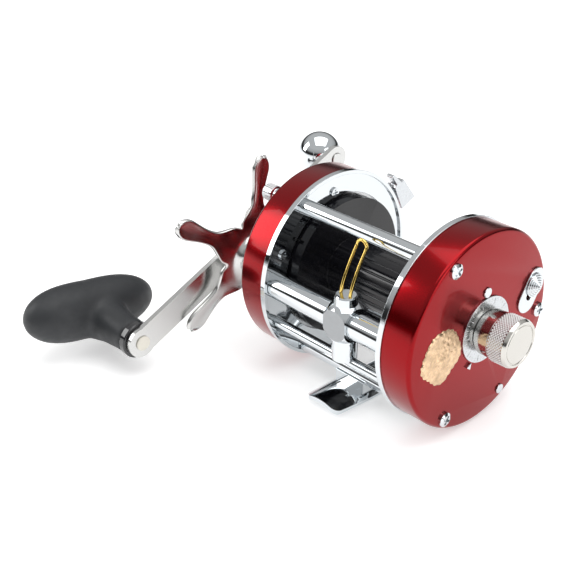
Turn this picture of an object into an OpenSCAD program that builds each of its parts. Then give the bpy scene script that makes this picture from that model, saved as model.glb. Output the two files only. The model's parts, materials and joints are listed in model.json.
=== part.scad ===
// Round baitcasting reel with a level wind, a star drag and a counterweighted crank.
// X runs along the spool: +X is the palm side, -X the handle side, -Y the line side, +Z is up.
// The origin lies midway along the foot, in the plane of its two lower edges.

/* [Frame] */
// Inside distance between the rims of the two frame plates
frame_gap = 50.8; // [42:0.2:62]
// Outer radius of a frame plate's rim
ring_r = 34.5; // [29:0.1:42]
// Radial width of the rim
rim_w = 1.3; // [0.8:0.1:2]
// Thickness of the rim
rim_t = 2; // [1.4:0.1:3]
// Thickness of the plate inside the rim
plate_t = 1.2; // [0.8:0.1:1.3]
// Radius of a pillar
pillar_r = 2.8; // [2:0.1:3]
// Distance from the rim's edge to a pillar's axis
pillar_inset = 4; // [3.8:0.1:5]
// Length of the tapped hole in a pillar's end
pillar_tap_len = 6; // [4:0.5:10]

/* [Covers] */
// Step from the frame plate's edge in to the cover's wall
cup_step = 0.5; // [0:0.1:1]
// Depth of the palm cover
palm_depth = 11.3; // [10:0.1:14]
// Depth of the handle cover
handle_depth = 11.2; // [10.8:0.1:14]
// Wall of both covers
cup_wall = 1.5; // [1:0.1:2]
// Rounding of a cover's outer edge
cup_fillet = 1.3; // [0.6:0.1:2]

/* [Spool] */
// Distance of the spool's axis behind the middle of the plates
spool_y = 2; // [1:0.1:3]
// Clearance between the spool's rim and the level-wind tube
spool_gap = 1; // [0.5:0.1:2]
// Width of a spool flange
flange_w = 5; // [3:0.1:6]
// Clearance between a spool flange and the cover side of its plate
flange_end_gap = 0.4; // [0.2:0.1:1]
// Radius of the arbor
arbor_r = 10.5; // [8:0.1:14]
// Number of flutes along the arbor
flute_count = 18; // [10:1:24]
// Radius of a flute along the arbor
flute_r = 0.6; // [0.4:0.05:1]
// Number of slots around each flange rim
rim_slot_count = 10; // [6:1:24]
// Radius of the spool shaft
spool_shaft_r = 1.6; // [1.2:0.1:2]

/* [Gears] */
// Teeth on the main gear
main_teeth = 50; // [46:1:56]
// Teeth on the pinion
pinion_teeth = 12; // [11:1:14]
// Teeth on the level-wind drive gear
wind_drive_teeth = 35; // [32:1:38]
// Teeth on the level-wind gear
wind_teeth = 13; // [12:1:15]
// Teeth on the ratchet wheel
ratchet_teeth = 12; // [8:1:16]
// Radius of the drive shaft
drive_shaft_r = 3; // [2.4:0.1:3.4]
// Running clearance of a shaft in its bore
run_gap = 0.05; // [0.02:0.01:0.09]

/* [Level wind] */
// Outer radius of the level-wind tube
tube_r = 4.5; // [4:0.1:5]
// Wall of the level-wind tube
tube_wall = 0.8; // [0.6:0.1:1]
// Height of the tube's axis above the middle of the plates
tube_z = 1.5; // [0.5:0.1:3]
// Radius of the guide rod
rod_r = 1.7; // [1.2:0.1:2]
// Depth of the guide rod's axis below the tube's axis
rod_drop = 14.1; // [12:0.1:18]
// Distance of the guide rod's axis behind the tube's axis
rod_back = 0; // [0:0.1:5]
// Where the line carriage stands along the spool
carriage_x = 6.9; // [-6:0.1:9]
// Width of the line carriage
carriage_w = 9.6; // [7:0.1:11]
// Radius of the line guide's wire
wire_r = 0.5; // [0.4:0.05:0.7]
// Distance between the wire's two legs
wire_gap = 4.2; // [3.4:0.1:4.8]
// Height of the wire loop above the carriage
wire_rise = 15.9; // [10:0.1:18]
// Lean of the wire loop towards the spool, in degrees
wire_lean = 21.5; // [10:0.5:22]

/* [Crank] */
// Distance from the handle cover's face to the crank arm
arm_out = 20.3; // [18:0.1:24]
// Thickness of the crank arm
arm_t = 2; // [1.5:0.1:3]
// Width of the crank arm
arm_w = 10; // [8:0.1:12]
// Distance from the crank's axis to the grip's axis
grip_reach = 51; // [44:0.5:64]
// Distance from the crank's axis to the counterweight
ball_reach = 53; // [48:0.5:64]
// Angle of the crank arm's counterweight end, from +Y towards +Z
arm_angle = 25; // [0:1:90]
// Radius of the counterweight ball
ball_r = 8.3; // [6:0.1:10]
// Length of the grip's bar
grip_len = 55; // [46:0.5:70]
// Radius of the grip's bar
grip_r = 11.5; // [8:0.1:13]
// Distance from the crank arm to the middle of the grip's bar
grip_out = 31; // [27:0.5:40]
// Turn of the grip's bar about its spindle, in degrees
grip_tilt = -7; // [-90:1:90]

/* [Star drag] */
// Radius to the tips of the star wheel
star_r = 35; // [30:0.5:38]
// Radius of a rounded arm tip
star_tip_r = 4.4; // [3:0.1:5.5]
// Thickness of the star wheel's arms
star_t = 1.8; // [1.4:0.1:2.5]
// Angle of the first arm, from +Y towards +Z
star_angle = 76; // [0:1:360]
// Number of arms
star_arms = 5; // [4:1:6]
// Outward bend at the tips
star_bend = 3.4; // [2:0.1:4]

/* [Palm side] */
// Radius of the brake knob
knob_r = 8.3; // [6:0.1:9]
// Distance from the palm cover's face to the end of the knob
knob_out = 13.6; // [12:0.1:18]
// Radius of the numbered dial
dial_r = 11.4; // [10:0.1:13]
// Thickness of the dial
dial_t = 0.6; // [0.4:0.1:1]
// Radius of a cover screw's head
screw_head_r = 2.5; // [2:0.1:3]
// Travel of the click button
click_travel = 4; // [3:0.1:5]

/* [Foot] */
// Length of the foot
foot_len = 65; // [56:0.5:80]
// Width of the foot at its middle
foot_w = 16.4; // [14:0.1:18]
// Width of the foot at its ends
foot_end_w = 14.8; // [12:0.1:16]
// Thickness of the foot
foot_t = 1.6; // [1.2:0.1:2]
// Radius of the foot's arched top
foot_arch_r = 16; // [14:0.1:20]
// Gap between the foot and the pillars above it
foot_gap = 1.2; // [0.6:0.1:3]

/* [Hidden] */

$fn = 64;
round_fn = 32;
eps = 0.01;

rim_in = frame_gap / 2;
plate_out = rim_in + rim_t;
plate_in = plate_out - plate_t;
rim_inner_r = ring_r - rim_w;
cup_r = ring_r - cup_step;
cup_bore_r = cup_r - cup_wall;
palm_face = plate_out + palm_depth;
handle_face = -plate_out - handle_depth;
handle_inner = handle_face + cup_wall;

pillar_circle_r = ring_r - pillar_inset;
top_angle = 120;
bottom_angle = 240;
rear_angle = -6.5;
foot_rear_angle = 300;
screw_angles = [top_angle, bottom_angle, rear_angle];
screw_r = 1.3;

foot_top = -pillar_circle_r * sin(60) - pillar_r - foot_gap;
foot_arch_z = foot_top - foot_arch_r;
foot_under_r = foot_arch_r - foot_t;
foot_land = 1.4;
foot_low = foot_arch_z + sqrt(pow(foot_under_r, 2) - pow(foot_w / 2 - foot_land, 2));
centre_z = -foot_low;
cradle_w = 7;
cradle_len = 13;
rivet_x = 3.5;
rivet_r = 1.2;

// Gear train: the main gear fills the handle cover, and its module follows from that.
pressure = 25;
addendum = 0.8;
dedendum = 1.1;
backlash = 0.1;
gear_clear = 0.4;
pair_teeth = (main_teeth + pinion_teeth) / 2;
main_module = (spool_y + cup_bore_r - gear_clear) / (pair_teeth + main_teeth / 2 + addendum);
crank_y = spool_y - pair_teeth * main_module;

// The tube stands against the rims, or where the wind gear on its shaft clears the cover.
wind_gear_gap = 0.35;
wind_lean = 2 * (wind_teeth / 2 + addendum) / (wind_drive_teeth + wind_teeth);
wind_limit = (cup_bore_r - wind_gear_gap - wind_lean * crank_y) / (1 + wind_lean);
tube_y = -min(rim_inner_r - tube_r - 0.2, wind_limit);
tube_bore_r = tube_r - tube_wall;
rod_y = tube_y + rod_back;
rod_z = tube_z - rod_drop;
rear_gap = 0.4;
spool_front = spool_y - tube_y - tube_r - spool_gap;
spool_rear = pillar_circle_r * cos(rear_angle) - spool_y - pillar_r - rear_gap;
spool_r = min(spool_front, spool_rear);
spool_hole_r = spool_r + 0.9;
flange_out = plate_out - flange_end_gap;
flange_in = flange_out - flange_w;
web_t = 2;

wind_dist = norm([tube_y - crank_y, tube_z]);
wind_angle = atan2(tube_z, tube_y - crank_y);
wind_module = 2 * wind_dist / (wind_drive_teeth + wind_teeth);

bridge_t = 1.2;
bridge_x = -plate_out - bridge_t;
post_len = 1.3;
stack_gap = 0.1;
ratchet_t = 1;
wind_t = 1.1;
main_t = 2.3;
washer_t = 0.4;
washer_count = 4;
ratchet_x = bridge_x - post_len - 2 * stack_gap - ratchet_t;
wind_x = ratchet_x - stack_gap - wind_t;
main_x = wind_x - 2 * stack_gap - main_t;
washer_x = main_x - stack_gap;
ratchet_r = 7.4;
stop_angle = -95;
stop_reach = ratchet_r + 6;
stop_y = crank_y + stop_reach * cos(stop_angle);
stop_z = stop_reach * sin(stop_angle);
stop_pin_r = 0.75;
plate_screw_angles = [93, 155, 267];
plate_screw_edge = 1.8;
plate_screw_circle_r = spool_hole_r + plate_screw_edge;
plate_screw_r = 0.9;
washer_r = 9;

bearing_r = 4;
arm_x = handle_face - arm_out;
bushing_r = 6;
bushing_len = 5;
star_hub_r = 8;
star_clear = 0.9;
star_hub_x = arm_x + arm_t / 2 + 1.2;
star_hub_len = 9;
star_root_x = arm_x + arm_t / 2 + star_clear + star_bend;
spindle_r = 2.2;
grip_y = crank_y - grip_reach * cos(arm_angle);
grip_z = -grip_reach * sin(arm_angle);
ball_y = crank_y + ball_reach * cos(arm_angle);
ball_z = ball_reach * sin(arm_angle);
collar_t = 3;
collar_r = 6.6;
bar_x = arm_x - grip_out;
grip_shift = 1.5;
grip_lift = 1.2;

carriage_back = 5.2;
carriage_top = 7.2;
carriage_bottom = 6;
boss_r = 3.7;
boss_back = 0;
boss_top = 9.5;
stem_r = 4.2;
stem_y = tube_y;
stem_low = rod_z + 0.4;
slot_half = 20;

boss_out = 2.4;
boss_short = 0.5;
screw_boss_r = 2.6;
click_angle = 13;
click_circle_r = 25.5;
click_spot = [click_circle_r * cos(click_angle), click_circle_r * sin(click_angle)];
click_line = 58;
click_button_r = 4.2;
lever_angle = 25;

// Places flat shapes: local x becomes Y, local y becomes Z, and the extrusion runs along +X.
module on_x(x, y = 0, z = 0)
    translate([x, y, centre_z + z]) rotate([90, 0, 90]) children();

module rod_x(x0, x1, r, y = 0, z = 0)
    on_x(min(x0, x1), y, z) cylinder(h = abs(x1 - x0), r = r);

// A turned shape: the outline's first value is the radius, the second the place along X.
module turned(outline, y = 0, z = 0)
    on_x(0, y, z) rotate_extrude() polygon(outline);

module at_angles(angles, radius)
    for (a = angles)
        on_x(0) rotate(a) translate([radius, 0, 0]) children();

function polar(r, a) = [r * cos(a), r * sin(a)];
function arc(cx, cy, r, a0, a1, n = 8) =
    [for (i = [0 : n]) [cx, cy] + polar(r, a0 + (a1 - a0) * i / n)];
function inv(a) = tan(a) * 180 / PI - a;
function flank(r, rb, half) = half + inv(pressure) - inv(acos(min(1, rb / max(r, rb))));

module gear_outline(m, teeth) {
    rp = m * teeth / 2;
    rb = rp * cos(pressure);
    ra = rp + addendum * m;
    rd = rp - dedendum * m;
    half = 90 / teeth - backlash / 2 / rp * 180 / PI;
    radii = [rd, max(rb, rd + eps), rp, ra];
    polygon([for (i = [0 : teeth - 1]) each concat(
        [for (r = radii) polar(r, i * 360 / teeth - flank(r, rb, half))],
        [for (k = [3 : -1 : 0]) polar(radii[k], i * 360 / teeth + flank(radii[k], rb, half))])]);
}

module cross_recess(r, depth) {
    for (a = [0, 90])
        rotate(a) translate([-r, -r / 4, -depth]) cube([2 * r, r / 2, depth + 1]);
}

// ---- Frame ----

module frame_plate(side) {
    x0 = min(side * plate_out, side * plate_in);
    rim_x0 = min(side * plate_out, side * rim_in);
    difference() {
        union() {
            rod_x(x0, x0 + plate_t, ring_r - eps);
            difference() {
                rod_x(rim_x0, rim_x0 + rim_t, ring_r);
                rod_x(rim_x0 - 1, rim_x0 + rim_t + 1, rim_inner_r);
            }
        }
        rod_x(x0 - 1, x0 + plate_t + 1, spool_hole_r, spool_y);
        at_angles(screw_angles, pillar_circle_r)
            translate([0, 0, x0 - 1]) cylinder(h = plate_t + 2, r = screw_r + 0.1);
        rod_x(x0 - 1, x0 + plate_t + 1, tube_bore_r, tube_y, tube_z);
        if (side < 0)
            plate_screw_holes();
    }
}

module handle_frame_plate() color("silver") frame_plate(-1);

module palm_frame_plate() color("silver") frame_plate(1);

module pillar(a, tapped = true) color("gainsboro") difference() {
    at_angles([a], pillar_circle_r) translate([0, 0, -plate_in])
        cylinder(h = 2 * plate_in, r = pillar_r);
    if (tapped)
        for (x = [-plate_in - 1, plate_in - pillar_tap_len])
            at_angles([a], pillar_circle_r) translate([0, 0, x])
                cylinder(h = pillar_tap_len + 1, r = screw_r);
}

module pillar_top() pillar(top_angle);

module pillar_rear() pillar(rear_angle);

module pillar_foot_front() pillar(bottom_angle);

module pillar_foot_rear() pillar(foot_rear_angle, false);

module guide_rod() color("gainsboro")
    rod_x(-plate_in, plate_in, rod_r, rod_y, rod_z);

module level_wind_tube() color("gainsboro") difference() {
    rod_x(-plate_in, plate_in, tube_r, tube_y, tube_z);
    rod_x(-plate_in - 1, plate_in + 1, tube_bore_r, tube_y, tube_z);
    translate([-slot_half - 2, tube_y - 1.6, centre_z + tube_z - tube_r - 1])
        cube([2 * slot_half + 4, 3.2, tube_r]);
}

// ---- Foot ----

module foot_plan() {
    corner = 3;
    h = foot_len / 2;
    polygon(concat(
        arc(foot_end_w / 2 - corner, h - corner, corner, 0, 90),
        arc(-foot_end_w / 2 + corner, h - corner, corner, 90, 180),
        [[-foot_w / 2, h / 2], [-foot_w / 2, -h / 2]],
        arc(-foot_end_w / 2 + corner, -h + corner, corner, 180, 270),
        arc(foot_end_w / 2 - corner, -h + corner, corner, 270, 360),
        [[foot_w / 2, -h / 2], [foot_w / 2, h / 2]]));
}

module along_y(z, r, len)
    translate([0, len / 2, centre_z + z]) rotate([90, 0, 0]) cylinder(h = len, r = r);

module reel_foot() color("gainsboro") difference() {
    intersection() {
        linear_extrude(foot_arch_r) foot_plan();
        along_y(foot_arch_z, foot_arch_r, foot_len + 2);
    }
    along_y(foot_arch_z, foot_under_r, foot_len + 4);
    rivets(0);
}

module rivets(gap) {
    for (a = [bottom_angle, foot_rear_angle], x = [-rivet_x, rivet_x])
        translate([x, pillar_circle_r * cos(a), centre_z + foot_top - foot_t - 0.4])
            cylinder(h = foot_t + 1.4, r = rivet_r + gap);
}

module foot_cradles() color("silver") difference() {
    for (a = [bottom_angle, foot_rear_angle])
        translate([-cradle_len / 2, pillar_circle_r * cos(a) - cradle_w / 2, centre_z + foot_top - 1])
            cube([cradle_len, cradle_w, foot_gap + pillar_r + 0.4]);
    along_y(foot_arch_z, foot_arch_r, foot_len);
    for (a = [bottom_angle, foot_rear_angle])
        rod_x(-cradle_len, cradle_len, pillar_r, pillar_circle_r * cos(a), pillar_circle_r * sin(a));
    rivets(0);
}

module foot_rivets() color("silver") difference() {
    rivets(0);
    along_y(foot_arch_z, foot_under_r, foot_len);
}

// ---- Covers ----

function cup_outline(seat, face, dir) = let (f = face - dir * cup_fillet)
    concat([[0, seat], [cup_r, seat]],
        arc(cup_r - cup_fillet, f, cup_fillet, 0, dir * 90, 6),
        [[0, face]]);

module cup_shell(seat, face, dir) difference() {
    turned(cup_outline(seat, face, dir));
    rod_x(seat - dir, face - dir * cup_wall, cup_bore_r);
}

module palm_cover() color("firebrick") difference() {
    union() {
        cup_shell(plate_out, palm_face, 1);
        rod_x(palm_face - 6, palm_face + boss_out, 6, spool_y);
        at_angles(screw_angles, pillar_circle_r) translate([0, 0, plate_out + boss_short])
            cylinder(h = palm_depth - boss_short - cup_wall / 2, r = screw_boss_r);
    }
    rod_x(palm_face - 7, palm_face - 2.4, bearing_r, spool_y);
    rod_x(palm_face - 7, palm_face + boss_out + 1, spool_shaft_r + 0.6, spool_y);
    at_angles(screw_angles, pillar_circle_r) translate([0, 0, plate_out - 1])
        cylinder(h = palm_depth + 2, r = screw_r + 0.1);
    on_x(palm_face - cup_wall - 1, click_spot.x, click_spot.y) click_slot(1.5);
    on_x(palm_face - cup_wall - 1) rivet_spots() cylinder(h = cup_wall + 2, r = 1);
}

module handle_cover() color("firebrick") difference() {
    union() {
        cup_shell(-plate_out, handle_face, -1);
        rod_x(handle_face + 0.5, handle_face - 2.6, 6.6, spool_y);
        rod_x(handle_face + 0.5, handle_face - 0.8, 7.4, crank_y);
    }
    rod_x(handle_face + 4, handle_face - 1.8, bearing_r, spool_y);
    rod_x(handle_face + 4, handle_face - 4, spool_shaft_r + 0.6, spool_y);
    rod_x(handle_face + 4, handle_face - 4, bushing_r - 1.2, crank_y);
    at_angles(screw_angles, pillar_circle_r) translate([0, 0, handle_face - 1])
        cylinder(h = handle_depth + 2, r = screw_r + 0.1);
    at_angles([lever_angle], cup_r)
        translate([-6, -5.4, -plate_out - 4.7]) cube([9, 10.8, 4.8]);
}

module palm_screws() color("gainsboro")
    at_angles(screw_angles, pillar_circle_r) {
        translate([0, 0, plate_in - pillar_tap_len + 0.6])
            cylinder(h = palm_face - plate_in + pillar_tap_len, r = screw_r - 0.02);
        translate([0, 0, palm_face]) difference() {
            union() {
                cylinder(h = 0.7, r = screw_head_r);
                translate([0, 0, 0.7]) cylinder(h = 0.5, r1 = screw_head_r, r2 = screw_head_r - 0.8);
            }
            translate([0, 0, 1.2]) cross_recess(1.6, 0.8);
        }
    }

module thumb_screws() color("gainsboro")
    at_angles(screw_angles, pillar_circle_r) {
        translate([0, 0, handle_face - 0.5])
            cylinder(h = -plate_in + pillar_tap_len - 0.6 - handle_face + 0.5, r = screw_r - 0.02);
        translate([0, 0, handle_face - 1.6]) cylinder(h = 1.6, r = 2.2);
        translate([0, 0, handle_face - 6]) cylinder(h = 4.4, r = 3.1);
        translate([0, 0, handle_face - 6.5]) cylinder(h = 0.5, r1 = 2.6, r2 = 3.1);
    }

module plate_screws() color("gainsboro")
    at_angles(plate_screw_angles, plate_screw_circle_r) {
        translate([0, 0, bridge_x]) cylinder(h = -plate_in - bridge_x, r = plate_screw_r);
        translate([0, 0, -plate_in]) difference() {
            cylinder(h = 0.7, r = 1.7);
            translate([0, 0, 0.7]) cross_recess(1.1, 0.5);
        }
    }

module rivet_spots() {
    translate([1.3, 13.3, 0]) children();
    translate([13.2, -27.4, 0]) children();
}

module palm_rivets() color("gainsboro")
    on_x(palm_face - cup_wall) rivet_spots() {
        cylinder(h = cup_wall, r = 1);
        translate([0, 0, cup_wall]) cylinder(h = 0.6, r = 1.75);
    }

module badge() color("wheat") on_x(palm_face, -19, -1) linear_extrude(0.9)
    polygon(concat(arc(0, 0, 9.6, -35, 35), [[5.4, 8.4]], arc(0, 2.6, 6.4, 70, 110),
        [[-5.4, 8.4]], arc(0, 0, 9.6, 145, 215), [[0, -10.6]]));

module dial() color("gainsboro") difference() {
    rod_x(palm_face, palm_face + dial_t, dial_r, spool_y);
    rod_x(palm_face - 1, palm_face + dial_t + 1, 6 + run_gap, spool_y);
}

module dial_pointer() color("gainsboro")
    on_x(palm_face, spool_y) rotate(236) linear_extrude(0.9)
        polygon([[dial_r + 0.2, 0], [dial_r + 2.4, -1], [dial_r + 2.4, 1]]);

module click_slot(r) linear_extrude(4)
    rotate(click_line) slot_outline(click_travel / 2, r);

module slot_outline(half, r) {
    translate([-half, -r]) square([2 * half, 2 * r]);
    translate([-half, 0]) circle(r);
    translate([half, 0]) circle(r);
}

module click_plate() color("gainsboro") difference() {
    on_x(palm_face, click_spot.x, click_spot.y) linear_extrude(0.7)
        rotate(click_line) slot_outline(3.6, 4.5);
    on_x(palm_face - 1, click_spot.x, click_spot.y) click_slot(1.5);
}

module bearing(x0, x1, y) difference() {
    rod_x(x0, x1, bearing_r, y);
    rod_x(x0 - 1, x1 + 1, spool_shaft_r + run_gap, y);
}

module palm_bearing() color("silver") bearing(palm_face - 5, palm_face - 2.4, spool_y);

module handle_bearing() color("silver") bearing(handle_face - 1.8, handle_face + 0.8, spool_y);

module plate_screw_holes()
    at_angles(plate_screw_angles, plate_screw_circle_r)
        translate([0, 0, bridge_x - 1]) cylinder(h = bridge_t + rim_t + 2, r = plate_screw_r);

module bridge_plate() color("darkgray") difference() {
    union() {
        intersection() {
            rod_x(bridge_x, bridge_x + bridge_t, cup_bore_r - 0.3);
            translate([bridge_x - 1, -cup_r, centre_z - cup_r]) cube([4, 2 * cup_r - 12, 2 * cup_r]);
        }
        rod_x(bridge_x, bridge_x - post_len, 5, crank_y);
        rod_x(bridge_x, ratchet_x - 0.2, stop_pin_r, stop_y, stop_z);
    }
    at_angles(screw_angles, pillar_circle_r)
        translate([0, 0, bridge_x - 1]) cylinder(h = bridge_t + 2, r = 3);
    plate_screw_holes();
    rod_x(bridge_x - 3, bridge_x + 3, drive_shaft_r + run_gap, crank_y);
    rod_x(bridge_x - 3, bridge_x + 3, 4.6, spool_y);
    rod_x(bridge_x - 3, bridge_x + 3, 2, tube_y, tube_z);
}

module crank_bushing() color("gainsboro") difference() {
    union() {
        rod_x(handle_face + cup_wall, handle_face - bushing_len, bushing_r - 1.2, crank_y);
        rod_x(handle_face - 0.8, handle_face - bushing_len, bushing_r, crank_y);
    }
    rod_x(handle_face + 3, handle_face - bushing_len - 1, drive_shaft_r + run_gap, crank_y);
}

// ---- Spool ----

module flange_outline(side) {
    difference() {
        rod_x(side * flange_in, side * flange_out, spool_r, spool_y);
        for (i = [0 : rim_slot_count - 1])
            on_x(side > 0 ? flange_in + 1.6 : -flange_out - 1, spool_y)
                rotate(i * 360 / rim_slot_count) translate([spool_r, 0, 0])
                    cylinder(h = flange_w - 0.6, r = 0.6);
    }
}

module spool() color("#202024") difference() {
    union() {
        for (side = [-1, 1])
            flange_outline(side);
        difference() {
            rod_x(-flange_in - web_t / 2, flange_in + web_t / 2, arbor_r, spool_y);
            for (i = [0 : flute_count - 1])
                on_x(-flange_out, spool_y) rotate(i * 360 / flute_count)
                    translate([arbor_r + 0.35, 0, 0]) cylinder(h = 2 * flange_out, r = flute_r);
        }
    }
    for (side = [-1, 1])
        rod_x(side * (flange_in + web_t), side * (flange_out + 1), spool_r - 3, spool_y);
    rod_x(-plate_out, plate_out, spool_shaft_r, spool_y);
}

module spool_shaft() color("silver")
    rod_x(handle_face - 1.5, palm_face - 0.4, spool_shaft_r, spool_y);

module pinion() color("goldenrod") difference() {
    union() {
        on_x(handle_inner + 0.9, spool_y) rotate(180 / pinion_teeth)
            linear_extrude(main_x + main_t - handle_inner - 0.9) gear_outline(main_module, pinion_teeth);
        rod_x(main_x + main_t, -flange_in - web_t, 3, spool_y);
    }
    rod_x(handle_inner - 1, 0, spool_shaft_r, spool_y);
}

module click_gear() color("silver") difference() {
    on_x(plate_out + 0.6, spool_y) linear_extrude(1.4) gear_outline(0.7, 16);
    rod_x(plate_out - 1, plate_out + 4, spool_shaft_r, spool_y);
}

module brake_blocks() color("ivory")
    for (a = [0, 180])
        on_x(flange_in + web_t, spool_y) rotate(a) translate([9, -2, 0]) cube([5, 4, 2.2]);

// ---- Drive train ----

module drive_shaft() color("silver")
    rod_x(bridge_x - 0.2, arm_x - arm_t / 2 - 1.4, drive_shaft_r, crank_y);

module ratchet_wheel() color("silver") difference() {
    on_x(ratchet_x, crank_y) linear_extrude(ratchet_t)
        polygon([for (i = [0 : ratchet_teeth - 1]) each [
            polar(ratchet_r, i * 360 / ratchet_teeth),
            polar(ratchet_r - 1.4, i * 360 / ratchet_teeth + 4),
            polar(ratchet_r - 0.9, (i + 0.6) * 360 / ratchet_teeth)]]);
    rod_x(ratchet_x - 1, ratchet_x + 3, drive_shaft_r, crank_y);
}

module wind_drive_gear() color("ivory") difference() {
    on_x(wind_x, crank_y) rotate(wind_angle)
        linear_extrude(wind_t) gear_outline(wind_module, wind_drive_teeth);
    rod_x(wind_x - 1, wind_x + 3, drive_shaft_r, crank_y);
}

module main_gear() color("goldenrod") difference() {
    on_x(main_x, crank_y) linear_extrude(main_t) gear_outline(main_module, main_teeth);
    rod_x(main_x - 1, main_x + 5, drive_shaft_r, crank_y);
}

module drag_washers() color("dimgray") difference() {
    for (i = [0 : washer_count - 1])
        rod_x(washer_x - i * washer_t, washer_x - (i + 0.8) * washer_t, washer_r - (i % 2), crank_y);
    rod_x(washer_x - 4, washer_x + 1, drive_shaft_r, crank_y);
}

// ---- Level wind ----

module worm_shaft() color("silver") {
    rod_x(-slot_half - 1, slot_half + 1, 2, tube_y, tube_z);
    for (x = [-slot_half - 2, slot_half])
        rod_x(x, x + 2, tube_bore_r - run_gap, tube_y, tube_z);
    rod_x(wind_x - 0.1, -slot_half, 1.5, tube_y, tube_z);
    rod_x(slot_half, plate_out - 0.2, 1.5, tube_y, tube_z);
}

module wind_gear() color("ivory") difference() {
    on_x(wind_x, tube_y, tube_z) rotate(wind_angle + 180 + 180 / wind_teeth)
        linear_extrude(wind_t) gear_outline(wind_module, wind_teeth);
    rod_x(wind_x - 1, wind_x + 3, 1.5, tube_y, tube_z);
}

module line_carriage() color("gainsboro") difference() {
    union() {
        on_x(carriage_x - carriage_w / 2, tube_y, tube_z) linear_extrude(carriage_w)
            polygon([[-5.4, -3.6], [-3.4, -carriage_bottom], [3.4, -carriage_bottom],
                [carriage_back, -4], [carriage_back, 4], [carriage_back - 1.4, carriage_top - 1],
                [-2.6, carriage_top - 1], [-5.4, 4]]);
        translate([carriage_x, tube_y + boss_back, centre_z + tube_z + 4])
            cylinder(h = boss_top - 4, r = boss_r);
    }
    rod_x(carriage_x - carriage_w, carriage_x + carriage_w, tube_r + run_gap, tube_y, tube_z);
    pawl_bore();
    for (s = [-1, 1])
        wire_leg(s, wire_r);
}

module wire_leg(s, r)
    translate([carriage_x + s * wire_gap / 2, tube_y + boss_back, centre_z + tube_z + boss_top])
        rotate([-wire_lean, 0, 0]) translate([0, 0, -1.6]) cylinder(h = wire_rise + 1.6, r = r, $fn = 12);

module line_guide() color("gold") {
    for (s = [-1, 1])
        wire_leg(s, wire_r);
    translate([carriage_x, tube_y + boss_back, centre_z + tube_z + boss_top])
        rotate([-wire_lean, 0, 0]) translate([0, 0, wire_rise]) rotate([90, 0, 0])
            rotate_extrude(angle = 180) translate([wire_gap / 2, 0]) circle(wire_r, $fn = 12);
}

module pawl_bore()
    translate([carriage_x, tube_y, centre_z + rod_z + rod_r + 2]) cylinder(h = 14, r = 1.4);

module pawl() color("silver")
    translate([carriage_x, tube_y, centre_z + rod_z + rod_r + 2])
        cylinder(h = tube_z - 2.2 - rod_z - rod_r - 2, r = 1.3);

module pawl_cap() color("gainsboro") difference() {
    translate([carriage_x, stem_y, centre_z + stem_low])
        cylinder(h = tube_z - carriage_bottom - stem_low, r = stem_r);
    rod_x(carriage_x - carriage_w, carriage_x + carriage_w, rod_r + run_gap, rod_y, rod_z);
    pawl_bore();
}

// ---- Crank ----

module arm_half(reach, end_r) {
    translate([0, -arm_w / 2]) square([reach, arm_w]);
    translate([reach, 0]) circle(end_r);
}

module crank_arm() color("lightgray") difference() {
    on_x(arm_x - arm_t / 2, crank_y) linear_extrude(arm_t) {
        rotate(arm_angle) arm_half(ball_reach, arm_w / 2);
        rotate(arm_angle + 180) arm_half(grip_reach, arm_w / 2 + 0.5);
        circle(arm_w / 2 + 1);
    }
    rod_x(arm_x - 5, arm_x + 5, drive_shaft_r, crank_y);
    rod_x(arm_x - 5, arm_x + 5, spindle_r, grip_y, grip_z);
    rod_x(arm_x - 5, arm_x + 5, 1.8, ball_y, ball_z);
}

module crank_nut() color("gainsboro") difference() {
    on_x(arm_x - arm_t / 2 - 3.4, crank_y) cylinder(h = 3.4, r = 6, $fn = 6);
    rod_x(arm_x - arm_t / 2 - 1.4, arm_x, drive_shaft_r, crank_y);
}

module counterweight() color("white") difference() {
    translate([arm_x - arm_t / 2 - ball_r + 0.8, ball_y, centre_z + ball_z]) sphere(ball_r);
    translate([arm_x - arm_t / 2, ball_y - 20, centre_z + ball_z - 20]) cube(40);
    rod_x(arm_x - 6, arm_x, 1.8, ball_y, ball_z);
}

module counterweight_rivet() color("gainsboro") {
    rod_x(arm_x - 6, arm_x + arm_t / 2, 1.8, ball_y, ball_z);
    rod_x(arm_x + arm_t / 2, arm_x + arm_t / 2 + 0.5, 2.4, ball_y, ball_z);
}

module grip_spindle() color("beige") {
    rod_x(bar_x + 4, arm_x + arm_t / 2, spindle_r, grip_y, grip_z);
    rod_x(arm_x + arm_t / 2, arm_x + arm_t / 2 + 0.6, spindle_r + 0.5, grip_y, grip_z);
}

module grip_collar() color("#101012") difference() {
    rod_x(arm_x - arm_t / 2 - 0.2, arm_x - arm_t / 2 - 0.2 - collar_t, collar_r, grip_y, grip_z);
    rod_x(arm_x - 10, arm_x, spindle_r + run_gap, grip_y, grip_z);
}

module grip() color("#34373a") difference() {
    translate([0, grip_y, centre_z + grip_z]) rotate([grip_tilt, 0, 0]) {
        translate([bar_x, -grip_shift, grip_lift]) rotate([90, 0, 0])
            rotate_extrude() grip_bar_outline();
        rotate([0, 90, 0]) translate([0, 0, bar_x])
            cylinder(h = grip_out - arm_t / 2 - 0.2 - collar_t, r = collar_r - 0.2);
    }
    rod_x(bar_x + 3.8, arm_x, spindle_r + run_gap, grip_y, grip_z);
}

module grip_bar_outline() {
    h = grip_len / 2;
    polygon(concat([[0, -h], [grip_r * 0.5, -h + 1]],
        arc(grip_r - 6, -h + 8, 6, -60, 0, 5),
        arc(grip_r - 6, h - 8, 6, 0, 60, 5),
        [[grip_r * 0.5, h - 1], [0, h]]));
}

// ---- Star drag ----

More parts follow.
